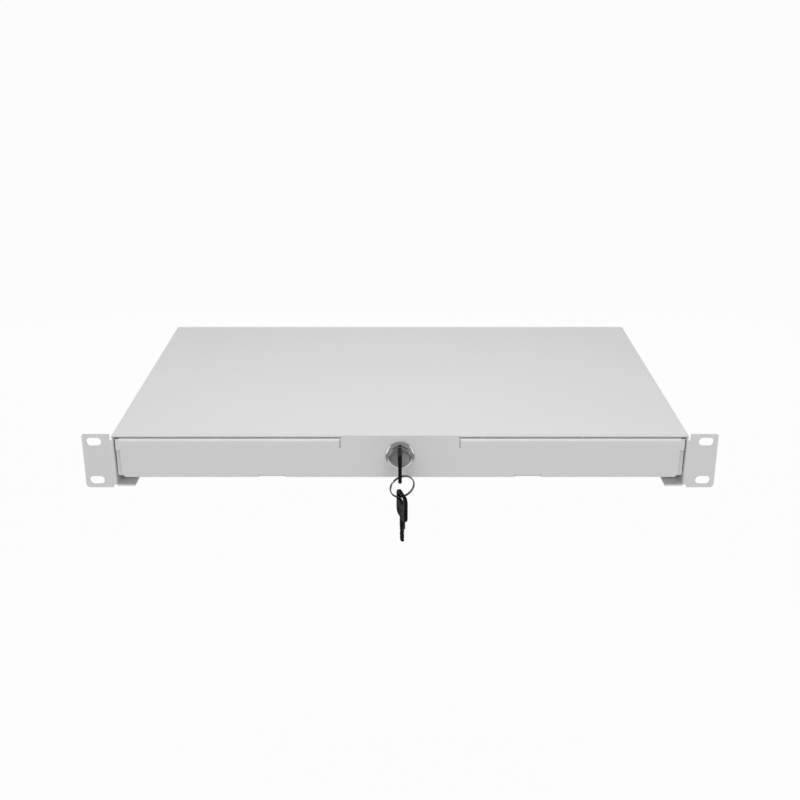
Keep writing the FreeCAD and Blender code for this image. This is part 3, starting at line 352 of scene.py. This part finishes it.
FINISHES = {
    "case_paint": paint_finish(),
    "zinc_steel": sheet_metal_finish("zinc_plate", ZINC, roughness=0.34, spangle=0.012),
    "slide_steel": sheet_metal_finish("slide_plate", SLIDE, roughness=0.24, spangle=0.03),
    "cage_steel": sheet_metal_finish("cage_strip", CAGE, roughness=0.38, spangle=0.02),
    "ball_steel": polished_finish("ball_polish", BALL, roughness=0.07),
    "bumper_rubber": rubber_finish(),
    "lock_chrome": polished_finish("lock_chrome_plate", CHROME, roughness=0.09),
    "plug_nickel": polished_finish("plug_nickel_plate", NICKEL, roughness=0.14, eased=0.0006),
    "wafer_brass": polished_finish("wafer_brass_plate", BRASS, roughness=0.30),
    # the blades' very dark colour and low edge tint are partly painted shade on their reflections
    "key_steel": polished_finish("key_blade_plate_painted_shade", KEY_BLADE_AND_PAINTED_SHADE, roughness=0.25, edge_tint=0.3),
    "key_plastic": plastic_finish(),
    # the ring's dark colour and lowered edge tint are painted shade on its reflections
    "ring_steel": polished_finish("ring_wire_painted_shade", RING, roughness=0.20, edge_tint=0.6),
}

slot_of = {part["node"]: part["material_slot"] for part in frame["record"]["subparts"]}
for name, piece in frame["nodes"].items():
    for material_slot in piece.material_slots:
        material_slot.material = FINISHES[slot_of[name]]


# ---- Studio ----
def linked(name, data):
    """New object in the scene with its data."""
    made = bpy.data.objects.new(name, data)
    bpy.context.scene.collection.objects.link(made)
    return made


def white_for_camera(tree, diffuse, white, factor):
    """Shader that turns white wherever the camera, a reflection or a glass ray looks."""
    rays = tree.nodes.new("ShaderNodeLightPath")
    seen = rays.outputs["Is Camera Ray"]
    for output in ("Is Glossy Ray", "Is Transmission Ray"):
        total = tree.nodes.new("ShaderNodeMath")
        total.operation = "MAXIMUM"
        tree.links.new(seen, total.inputs[0])
        tree.links.new(rays.outputs[output], total.inputs[1])
        seen = total.outputs[0]
    share = tree.nodes.new("ShaderNodeMath")
    share.operation = "MULTIPLY"
    share.inputs[1].default_value = factor
    tree.links.new(seen, share.inputs[0])
    mix = tree.nodes.new("ShaderNodeMixShader")
    tree.links.new(share.outputs[0], mix.inputs[0])
    tree.links.new(diffuse, mix.inputs[1])
    tree.links.new(white, mix.inputs[2])
    return mix.outputs[0]


def make_world():
    world = bpy.data.worlds.new("studio_world")
    bpy.context.scene.world = world
    world.use_nodes = True
    tree = world.node_tree
    tree.nodes.clear()
    ambient = tree.nodes.new("ShaderNodeBackground")
    ambient.inputs["Color"].default_value = (1.0, 1.0, 1.0, 1.0)
    ambient.inputs["Strength"].default_value = WORLD_STRENGTH
    white = tree.nodes.new("ShaderNodeBackground")
    white.inputs["Color"].default_value = (1.0, 1.0, 1.0, 1.0)
    output = tree.nodes.new("ShaderNodeOutputWorld")
    seen = white_for_camera(tree, ambient.outputs[0], white.outputs[0], 1.0)
    tree.links.new(seen, output.inputs["Surface"])


def make_floor():
    level = cad_box[0][2] - FLOOR_DROP
    half = FLOOR_SIZE / 2
    mesh = bpy.data.meshes.new("studio_floor")
    corners = [(x * half, y * half, level) for x, y in ((-1, -1), (1, -1), (1, 1), (-1, 1))]
    mesh.from_pydata(corners, [], [(0, 1, 2, 3)])
    floor = linked("studio_floor", mesh)
    material = bpy.data.materials.new("studio_floor")
    material.use_nodes = True
    tree = material.node_tree
    matte = tree.nodes["Principled BSDF"]
    matte.inputs["Base Color"].default_value = (FLOOR_GREY, FLOOR_GREY, FLOOR_GREY, 1.0)
    matte.inputs["Roughness"].default_value = 0.9
    matte.inputs["Specular IOR Level"].default_value = 0.0
    white = tree.nodes.new("ShaderNodeEmission")
    seen = white_for_camera(tree, matte.outputs[0], white.outputs[0], FLOOR_FADE)
    tree.links.new(seen, tree.nodes["Material Output"].inputs["Surface"])
    mesh.materials.append(material)


def area_light(name, place, target, size, power):
    """Soft lamp aimed at a point, which reflections don't see."""
    data = bpy.data.lights.new(name, "AREA")
    data.shape = "RECTANGLE"
    data.size = size[0]
    data.size_y = size[1]
    data.energy = power
    lamp = linked(name, data)
    lamp.location = place
    lamp.visible_glossy = False
    lamp.rotation_euler = (Vector(target) - Vector(place)).to_track_quat("-Z", "Y").to_euler()


def reflection_card(name, centre, size, normal, grey):
    """Grey card that only reflections see."""
    facing = Vector(normal)
    up = Vector((0, 0, 1))
    right = up.cross(facing).normalized() if abs(facing.z) < 0.99 else Vector((1, 0, 0))
    rise = facing.cross(right).normalized()
    corners = [Vector(centre) + right * side * size[0] / 2 + rise * high * size[1] / 2
               for side, high in ((-1, -1), (1, -1), (1, 1), (-1, 1))]
    mesh = bpy.data.meshes.new(name)
    mesh.from_pydata([tuple(corner) for corner in corners], [], [(0, 1, 2, 3)])
    card = linked(name, mesh)
    card.visible_camera = False
    card.visible_diffuse = False
    card.visible_shadow = False
    card.visible_transmission = False
    material = bpy.data.materials.new(name)
    material.use_nodes = True
    tree = material.node_tree
    tree.nodes.clear()
    glow = tree.nodes.new("ShaderNodeEmission")
    glow.inputs["Color"].default_value = (grey, grey, grey, 1.0)
    output = tree.nodes.new("ShaderNodeOutputMaterial")
    tree.links.new(glow.outputs[0], output.inputs["Surface"])
    mesh.materials.append(material)


def make_camera():
    data = bpy.data.cameras.new("camera")
    data.sensor_width = SENSOR
    data.lens = FOCAL_PIXELS / IMAGE_SIZE * SENSOR
    data.clip_start = 0.01
    data.clip_end = 50.0
    camera = linked("camera", data)
    camera.location = CAMERA_PLACE
    camera.rotation_euler = (math.radians(90 - CAMERA_PITCH), 0.0, 0.0)
    bpy.context.scene.camera = camera


# ---- Mesh helpers, in millimetres ----
def as_mesh(name, bm):
    """Mesh from a bmesh, which is freed."""
    mesh = bpy.data.meshes.new(name)
    bm.to_mesh(mesh)
    bm.free()
    return mesh


def finished_mesh(name, bm, sharp=30.0):
    """Mesh in metres from millimetres, smooth but for edges sharper than an angle."""
    bmesh.ops.remove_doubles(bm, verts=bm.verts, dist=0.001)
    bmesh.ops.recalc_face_normals(bm, faces=bm.faces)
    limit = math.radians(sharp)
    for face in bm.faces:
        face.smooth = True
    for edge in bm.edges:
        edge.smooth = len(edge.link_faces) == 2 and edge.calc_face_angle(0.0) < limit
    bmesh.ops.scale(bm, vec=(MM, MM, MM), verts=bm.verts)
    return as_mesh(name, bm)


def add_piece(name, mesh, node):
    """Detailed piece that stands for a CAD node, on its body and with its material slot."""
    piece = linked(name, mesh)
    mesh.materials.append(FINISHES[slot_of[node]])
    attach(piece, body_of[node])
    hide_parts(node)


def lathe(bm, profile, steps=48):
    """Turn a profile of (radius, height) about the Z axis."""
    rings = []
    for step in range(steps):
        angle = 2 * math.pi * step / steps
        across, along = math.cos(angle), math.sin(angle)
        rings.append([bm.verts.new((r * across, r * along, z)) for r, z in profile])
    for first, second in zip(rings, rings[1:] + rings[:1]):
        for low, high, high_next, low_next in zip(first, first[1:], second[1:], second):
            bm.faces.new((low, low_next, high_next, high))


def loft(bm, loops, closed=False):
    """Skin between rings of points; the last ring joins the first if closed."""
    rings = [[bm.verts.new(point) for point in loop] for loop in loops]
    pairs = list(zip(rings, rings[1:]))
    if closed:
        pairs.append((rings[-1], rings[0]))
    for first, second in pairs:
        for index in range(len(first)):
            after = (index + 1) % len(first)
            bm.faces.new((first[index], first[after], second[after], second[index]))
    return rings


def rounded_rectangle(centre, half_size, corner, steps=8):
    """Points round a rectangle with round corners."""
    points = []
    for quarter, (side, up) in enumerate(((1, 1), (-1, 1), (-1, -1), (1, -1))):
        across = centre[0] + side * (half_size[0] - corner)
        along = centre[1] + up * (half_size[1] - corner)
        for step in range(steps + 1):
            angle = math.radians(90 * (quarter + step / steps))
            points.append((across + corner * math.cos(angle), along + corner * math.sin(angle)))
    return points


def block_points(bm, low, high):
    """Corners of a new block between two points."""
    made = bmesh.ops.create_cube(bm, size=1.0)["verts"]
    for vert in made:
        vert.co = [lo + (part + 0.5) * (hi - lo) for lo, hi, part in zip(low, high, vert.co)]
    return made


def thread_depth(z, share, pitch, depth):
    """How far a thread lies under its crest, at a height and a share of the turn."""
    phase = (z / pitch + share) % 1.0
    return depth * (1 - abs(2 * phase - 1))


def cut_with(mesh, cutter_mesh):
    """Mesh with another taken away from it."""
    body = linked("cut_body", mesh)
    cutter = linked("cut_tool", cutter_mesh)
    boolean = body.modifiers.new("cut", "BOOLEAN")
    boolean.operation = "DIFFERENCE"
    boolean.solver = "EXACT"
    boolean.object = cutter
    view = bpy.context.evaluated_depsgraph_get()
    made = bpy.data.meshes.new_from_object(body.evaluated_get(view))
    for scratch in (body, cutter):
        bpy.data.objects.remove(scratch)
    return made


def islands(node):
    """The separate solids of a CAD node, each a list of its points in millimetres."""
    bm = bmesh.new()
    bm.from_mesh(frame["nodes"][node].data)
    bmesh.ops.remove_doubles(bm, verts=bm.verts, dist=1e-6)
    seen = set()
    found = []
    for start in bm.verts:
        if start in seen:
            continue
        seen.add(start)
        reached = [start]
        for vert in reached:
            for edge in vert.link_edges:
                other = edge.other_vert(vert)
                if other not in seen:
                    seen.add(other)
                    reached.append(other)
        found.append([vert.co / MM for vert in reached])
    bm.free()
    return found


def axis_place(origin, axis):
    """Matrix that takes local Z to an axis at an origin."""
    return Matrix.Translation(origin) @ axis.to_track_quat("Z", "Y").to_matrix().to_4x4()


# ---- Screws and rivets ----
def fastener_place(points, axis, head_beyond, head_height):
    """Where a fastener's head bears, which way it faces and how long its shank is."""
    heights = [point.dot(axis) for point in points]
    low, high = min(heights), max(heights)
    centre = Vector([(min(c) + max(c)) / 2 for c in zip(*points)])
    centre -= axis * centre.dot(axis)
    wide = [point.dot(axis) for point in points
            if (point - axis * point.dot(axis) - centre).length > head_beyond]
    outward = axis if sum(wide) / len(wide) > (low + high) / 2 else -axis
    head_top = high if outward == axis else low
    seat = centre + axis * head_top - outward * head_height
    return seat, outward, high - low - head_height


def pan_head_mesh():
    """Pan head with a cross recess."""
    edge = PAN_HEAD_DIAMETER / 2
    top = PAN_HEAD_HEIGHT
    across, rise = PAN_HEAD_ROUND
    profile = [(0.0, 0.0), (edge - PAN_HEAD_BEVEL, 0.0)]
    profile += [(edge, PAN_HEAD_BEVEL), (edge, PAN_HEAD_SIDE)]
    for step in range(1, 9):
        angle = math.radians(90 * step / 8)
        radius = edge - across + across * math.cos(angle)
        profile.append((radius, PAN_HEAD_SIDE + rise * math.sin(angle)))
    profile += [(edge - PAN_HEAD_CROWN[0], top - PAN_HEAD_CROWN[1]), (0.0, top)]
    bm = bmesh.new()
    lathe(bm, profile)
    bmesh.ops.remove_doubles(bm, verts=bm.verts, dist=0.001)
    bmesh.ops.recalc_face_normals(bm, faces=bm.faces)
    dome = as_mesh("dome", bm)
    bm = bmesh.new()
    for x, y in ((CROSS_REACH, CROSS_HALF_WIDTH), (CROSS_HALF_WIDTH, CROSS_REACH)):
        taper = CROSS_TAPER if x > y else CROSS_TAPER[::-1]
        for vert in block_points(bm, (-x, -y, top - CROSS_DEPTH), (x, y, top + CUT_PAST)):
            if vert.co.z < top:
                vert.co.x *= taper[0]
                vert.co.y *= taper[1]
    return cut_with(dome, as_mesh("cross", bm))


def screw_mesh(length):
    """Pan head on a threaded shank that ends in a small point."""
    bm = bmesh.new()
    bm.from_mesh(pan_head_mesh())
    shank = []
    slices = max(2, int(length / THREAD_PITCH * THREAD_SLICES))
    for index in range(slices + 1):
        z = -length * index / slices
        taper = min(1.0, (length + z) / SCREW_POINT + SCREW_POINT_SHARE)
        loop = []
        for step in range(SCREW_STEPS):
            share = step / SCREW_STEPS
            radius = (SCREW_DIAMETER / 2 - thread_depth(z, share, THREAD_PITCH, THREAD_DEPTH)) * taper
            angle = 2 * math.pi * share
            loop.append((radius * math.cos(angle), radius * math.sin(angle), z))
        shank.append(loop)
    rings = loft(bm, shank)
    bm.faces.new(rings[-1])
    return finished_mesh("screw", bm)


def rivet_mesh(grip):
    """Blind rivet: domed head with its broken-off pin, and the swollen tail behind the sheets."""
    head = RIVET_HEAD_DIAMETER / 2 - RIVET_CROWN_RADIUS
    body = RIVET_DIAMETER / 2
    swell = RIVET_TAIL_DIAMETER / 2 - body
    profile = list(RIVET_PIN)
    for step in range(7):
        angle = math.radians(88 - 88 * step / 6)
        rise = (RIVET_HEAD_HEIGHT - RIVET_HEAD_EDGE) * math.sin(angle)
        profile.append((RIVET_CROWN_RADIUS + head * math.cos(angle), RIVET_HEAD_EDGE + rise))
    profile += [(RIVET_HEAD_DIAMETER / 2, 0.0), (body, 0.0), (body, -grip)]
    for step in range(1, 9):
        angle = math.radians(90 - 180 * step / 9)
        drop = RIVET_TAIL_HEIGHT / 2 * (1 - math.sin(angle))
        profile.append((body + swell * math.cos(angle), -grip - drop))
    end = -grip - RIVET_TAIL_HEIGHT
    profile += [(RIVET_PIN_RADIUS, end), (0.0, end)]
    bm = bmesh.new()
    lathe(bm, profile, 32)
    return finished_mesh("rivet", bm)


def replace_fasteners(node, name, axis, make, head_beyond, head_height):
    """One piece with a detailed fastener in the place of each of a CAD node's."""
    bm = bmesh.new()
    for points in islands(node):
        seat, outward, shank = fastener_place(points, axis, head_beyond, head_height)
        single = make(shank)
        single.transform(axis_place(seat * MM, outward))
        bm.from_mesh(single)
        bpy.data.meshes.remove(single)
    add_piece(name, as_mesh(name, bm), node)


def make_fasteners():
    across, up = Vector((1, 0, 0)), Vector((0, 0, 1))
    for node, axis in (("cover_screws", across), ("outer_rail_screws", across),
                       ("inner_rail_screws", across), ("front_screws", up)):
        name = node.replace("screws", "cross_screws")
        replace_fasteners(node, name, axis, screw_mesh, SCREW_HEAD_BEYOND, PAN_HEAD_HEIGHT)
    replace_fasteners("rear_panel_rivets", "blind_rivets", across,
                      lambda shank: rivet_mesh(shank - RIVET_TAIL_HEIGHT),
                      RIVET_HEAD_BEYOND, RIVET_HEAD_HEIGHT)


# ---- Lock ----
def bezel_profile(rim, front, rear):
    """Outline of the bezel and its bore as (radius, height), from the panel round to the rear."""
    seat = BEZEL_SEAT_DIAMETER / 2
    brow = rim - seat - BEZEL_LIP
    foot = PANEL_THICKNESS + BEZEL_FOOT
    profile = [(BEZEL_BODY_DIAMETER / 2 - BEZEL_FOOT_OVERLAP, PANEL_THICKNESS)]
    profile += [(rim - BEZEL_FOOT_BEVEL, PANEL_THICKNESS), (rim, PANEL_THICKNESS + BEZEL_FOOT_BEVEL)]
    for step in range(13):
        angle = math.radians(90 * step / 12)
        profile.append((rim - brow + brow * math.cos(angle), foot + (front - foot) * math.sin(angle)))
    profile += [(seat + out, front - back) for out, back in BEZEL_LIP_EDGE]
    floor = front - BEZEL_SEAT_DEPTH
    profile += [(seat, floor), (BEZEL_BORE_RADIUS, floor), (BEZEL_BORE_RADIUS, rear)]
    return profile


def make_lock_housing():
    """Chromed bezel with a rounded brow, on a threaded body with two flats."""
    low, high = (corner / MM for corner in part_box("lock_housing"))
    rear = -high.y
    bm = bmesh.new()
    lathe(bm, bezel_profile((high.z - low.z) / 2, -low.y, rear), BEZEL_STEPS)
    loops = []
    length = PANEL_THICKNESS - rear
    slices = int(length / BEZEL_THREAD_PITCH * THREAD_SLICES)
    for index in range(slices + 1):
        z = PANEL_THICKNESS - length * index / slices
        loop = []
        for step in range(BEZEL_THREAD_STEPS):
            share = step / BEZEL_THREAD_STEPS
            sunk = thread_depth(z, share, BEZEL_THREAD_PITCH, BEZEL_THREAD_DEPTH)
            radius = BEZEL_BODY_DIAMETER / 2 - sunk
            angle = 2 * math.pi * share
            side = max(-BEZEL_FLATS / 2, min(BEZEL_FLATS / 2, radius * math.cos(angle)))
            loop.append((side, radius * math.sin(angle), z))
        loops.append(loop)
    bore = []
    for step in range(BEZEL_THREAD_STEPS):
        angle = 2 * math.pi * step / BEZEL_THREAD_STEPS
        bore.append((BEZEL_BORE_RADIUS * math.cos(angle), BEZEL_BORE_RADIUS * math.sin(angle), rear))
    loft(bm, loops + [bore])
    mesh = finished_mesh("lock_bezel", bm)
    axis_z = (low.z + high.z) / 2
    mesh.transform(axis_place(Vector((0.0, 0.0, axis_z)) * MM, Vector((0, -1, 0))))
    add_piece("lock_bezel", mesh, "lock_housing")


# ---- Strips and backings of the drawer front ----
def add_trim(name, bm):
    """Painted trim that rides with the drawer front."""
    trim = linked(name, finished_mesh(name, bm))
    trim.data.materials.append(FINISHES[slot_of["drawer_front"]])
    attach(trim, body_of["drawer_front"])


def make_side_strips():
    """Joggled strip behind each side of the drawer front, which shows in its notches."""
    low, high = (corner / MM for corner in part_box("drawer_front"))
    edge = high.x - NOTCH_WIDTH
    inner, outer = edge - STRIP_OVERLAP, edge + STRIP_REACH
    front = low.y + PANEL_THICKNESS + STRIP_FIT
    bend, bend_end = (edge - inset for inset in STRIP_JOGGLE_FRONT)
    profile = [(inner, 0.0), (bend, 0.0), (bend_end, STRIP_STEP), (outer, STRIP_STEP)]
    bend, bend_end = (edge - inset for inset in STRIP_JOGGLE_BACK)
    thick = PANEL_THICKNESS
    back = STRIP_STEP + thick
    profile += [(outer, back), (bend_end, back), (bend, thick), (inner, thick)]
    top = high.z - STRIP_TOP_GAP
    levels = [(low.z, STRIP_CORNER), (low.z + STRIP_CORNER, 0.0)]
    levels += [(top - STRIP_CORNER, 0.0), (top, STRIP_CORNER)]
    bm = bmesh.new()
    for side in (-1, 1):
        rings = loft(bm, [[(side * min(x, outer - cut), front + depth, z) for x, depth in profile]
                          for z, cut in levels])
        bm.faces.new(rings[0])
        bm.faces.new(rings[-1])
    add_trim("front_side_strips", bm)


def make_front_backings():
    """Small plates behind the drawer front that close its slits and notches to the eye."""
    low, high = (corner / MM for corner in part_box("drawer_front"))
    front = low.y + PANEL_THICKNESS + STRIP_FIT
    plates = [(*SLIT_BACKING, high.z - SLIT_BACKING_DROP[0], high.z - SLIT_BACKING_DROP[1])]
    plates += [(*span, low.z + STRIP_FIT, low.z + NOTCH_BACKING_HEIGHT) for span in NOTCH_BACKINGS]
    bm = bmesh.new()
    for inner, outer, bottom, top in plates:
        for side in (-1, 1):
            middle = (side * (inner + outer) / 2, (bottom + top) / 2)
            half = ((outer - inner) / 2, (top - bottom) / 2)
            outline = rounded_rectangle(middle, half, BACKING_CORNER, 4)
            rings = loft(bm, [[(x, depth, z) for x, z in outline]
                              for depth in (front, front + BACKING_THICKNESS)])
            bm.faces.new(rings[0])
            bm.faces.new(rings[-1])
    add_trim("front_backings", bm)


# ---- Keys and ring ----
def both_sides(rim):
    """A rim's points from one face of a head to the other."""
    return [*rim, *((-height, inset) for height, inset in reversed(rim))]


def key_head_mesh(slot_width):
    """Moulded head with soft edges, a parting line, a shallow grip on each side and its slot."""
    half = HEAD_THICKNESS / 2
    scale = half / HEAD_RIM[0][0]
    loops = []
    for height, inset in both_sides(HEAD_RIM):
        size = (HEAD_LENGTH / 2 - inset, HEAD_WIDTH / 2 - inset)
        outline = rounded_rectangle((-HEAD_LENGTH / 2, 0.0), size, HEAD_CORNER - inset)
        loops.append([(height * scale, y, z) for y, z in outline])
    slot_middle = (-HEAD_LENGTH + KEY_SLOT_END_STRIP + slot_width / 2, 0.0)
    for height, grow in both_sides(KEY_SLOT_RIM):
        size = (slot_width / 2 + grow, HEAD_WIDTH / 2 - KEY_SLOT_SIDE_STRIP + grow)
        outline = rounded_rectangle(slot_middle, size, KEY_SLOT_CORNER + grow)
        loops.append([(height * scale, y, z) for y, z in outline])
    bm = bmesh.new()
    loft(bm, loops, closed=True)
    bmesh.ops.recalc_face_normals(bm, faces=bm.faces)
    head = as_mesh("head", bm)
    bm = bmesh.new()
    for side in (-1, 1):
        rings = []
        for out in (-1, 1):
            depth = side * (half + out * GRIP_DEPTH)
            wide, tall = (1 + out * slope for slope in GRIP_SLOPE)
            rings.append([(depth, GRIP_CENTRE + y * wide, z * tall)
                          for y, z in rounded_rectangle((0.0, 0.0), GRIP_HALF, GRIP_CORNER)])
        for ring in loft(bm, rings):
            bm.faces.new(ring)
    bmesh.ops.recalc_face_normals(bm, faces=bm.faces)
    cut = cut_with(head, as_mesh("grips", bm))
    bm = bmesh.new()
    bm.from_mesh(cut)
    return finished_mesh("key_head", bm, 40.0)


def key_blade_mesh(node, place):
    """The CAD blade with a milled groove along each side and eased edges."""
    bm = bmesh.new()
    bm.from_mesh(frame["nodes"][node].data)
    bmesh.ops.transform(bm, matrix=place.inverted(), verts=bm.verts)
    bmesh.ops.scale(bm, vec=(1 / MM, 1 / MM, 1 / MM), verts=bm.verts)
    bmesh.ops.remove_doubles(bm, verts=bm.verts, dist=0.001)
    bmesh.ops.dissolve_limit(bm, angle_limit=0.01, verts=bm.verts, edges=bm.edges)
    bmesh.ops.bevel(bm, geom=list(bm.edges), offset=BLADE_EDGE, segments=2, profile=0.5,
                    affect="EDGES")
    bmesh.ops.recalc_face_normals(bm, faces=bm.faces)
    blade = as_mesh("blade", bm)
    bm = bmesh.new()
    near, far = GROOVE_SPAN
    end = HEAD_LENGTH + 2 * GROOVE_PAST
    block_points(bm, (GROOVE_FLOOR, -GROOVE_PAST, near), (GROOVE_SIDE, end, far))
    block_points(bm, (-GROOVE_SIDE, -GROOVE_PAST, -far), (-GROOVE_FLOOR, end, -near))
    cut = cut_with(blade, as_mesh("grooves", bm))
    bm = bmesh.new()
    bm.from_mesh(cut)
    return finished_mesh("key_blade", bm, 25.0)


def turned(axis, degrees):
    return Matrix.Rotation(math.radians(degrees), 4, axis)


def key_places():
    """Places of the two keys, drawn pointing along +Y with the head's front end at the origin."""
    low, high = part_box("key_head")
    first = Matrix.Translation(((low.x + high.x) / 2, high.y, (low.z + high.z) / 2))
    low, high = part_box("spare_key_head")
    hang = turned("Z", SPARE_YAW) @ turned("X", -90)
    second = Matrix.Translation(((low.x + high.x) / 2, (low.y + high.y) / 2, low.z)) @ hang
    return {"key": first, "spare_key": second}


def make_keys():
    for key, place in key_places().items():
        head = key_head_mesh(KEY_SLOT_WIDTHS[key])
        head.transform(place)
        add_piece(key + "_grip", head, key + "_head")
        blade = key_blade_mesh(key + "_blade", place)
        blade.transform(place)
        add_piece(key + "_shank", blade, key + "_blade")


def make_key_ring():
    """Split ring: one wire of rounded square section wound twice, with a kink between the turns."""
    low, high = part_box("key_ring")
    lean = math.radians(RING_LEAN)
    half = RING_WIRE / 2
    outer = ((high.z - low.z) / MM / 2 - 2 * half * math.sin(lean)) / math.cos(lean)
    wire = (half - RING_WIRE_FIT[0], half - RING_WIRE_FIT[1])
    section = rounded_rectangle((0.0, 0.0), wire, RING_WIRE_CORNER, 3)
    loops = []
    start, end = RING_KINK_HALF, 720 - RING_KINK_HALF
    for step in range(RING_STEPS + 1):
        angle = start + (end - start) * step / RING_STEPS
        share = max(0.0, min(1.0, (angle - 360 + RING_KINK_HALF) / (2 * RING_KINK_HALF)))
        shift = half * (2 * share * share * (3 - 2 * share) - 1)
        along = math.radians(angle + RING_KINK)
        loop = []
        for across, side in section:
            radius = outer - half + across
            loop.append((radius * math.cos(along), shift + side, radius * math.sin(along)))
        loops.append(loop)
    bm = bmesh.new()
    rings = loft(bm, loops)
    bm.faces.new(rings[0])
    bm.faces.new(rings[-1])
    mesh = finished_mesh("split_ring", bm, 50.0)
    hang = turned("Z", RING_YAW) @ turned("X", RING_LEAN)
    mesh.transform(Matrix.Translation((low + high) / 2) @ hang)
    add_piece("split_ring", mesh, "key_ring")


bodies = frame["record"]["behaviour"]["bodies"]
body_of = {node: body for body, nodes in bodies.items() for node in nodes}
make_fasteners()
make_lock_housing()
make_side_strips()
make_front_backings()
make_keys()
make_key_ring()

make_world()
make_floor()
make_camera()
for lamp in LAMPS:
    area_light(*lamp)
for card in CARDS:
    reflection_card(*card)
bpy.context.scene.view_settings.view_transform = "Standard"
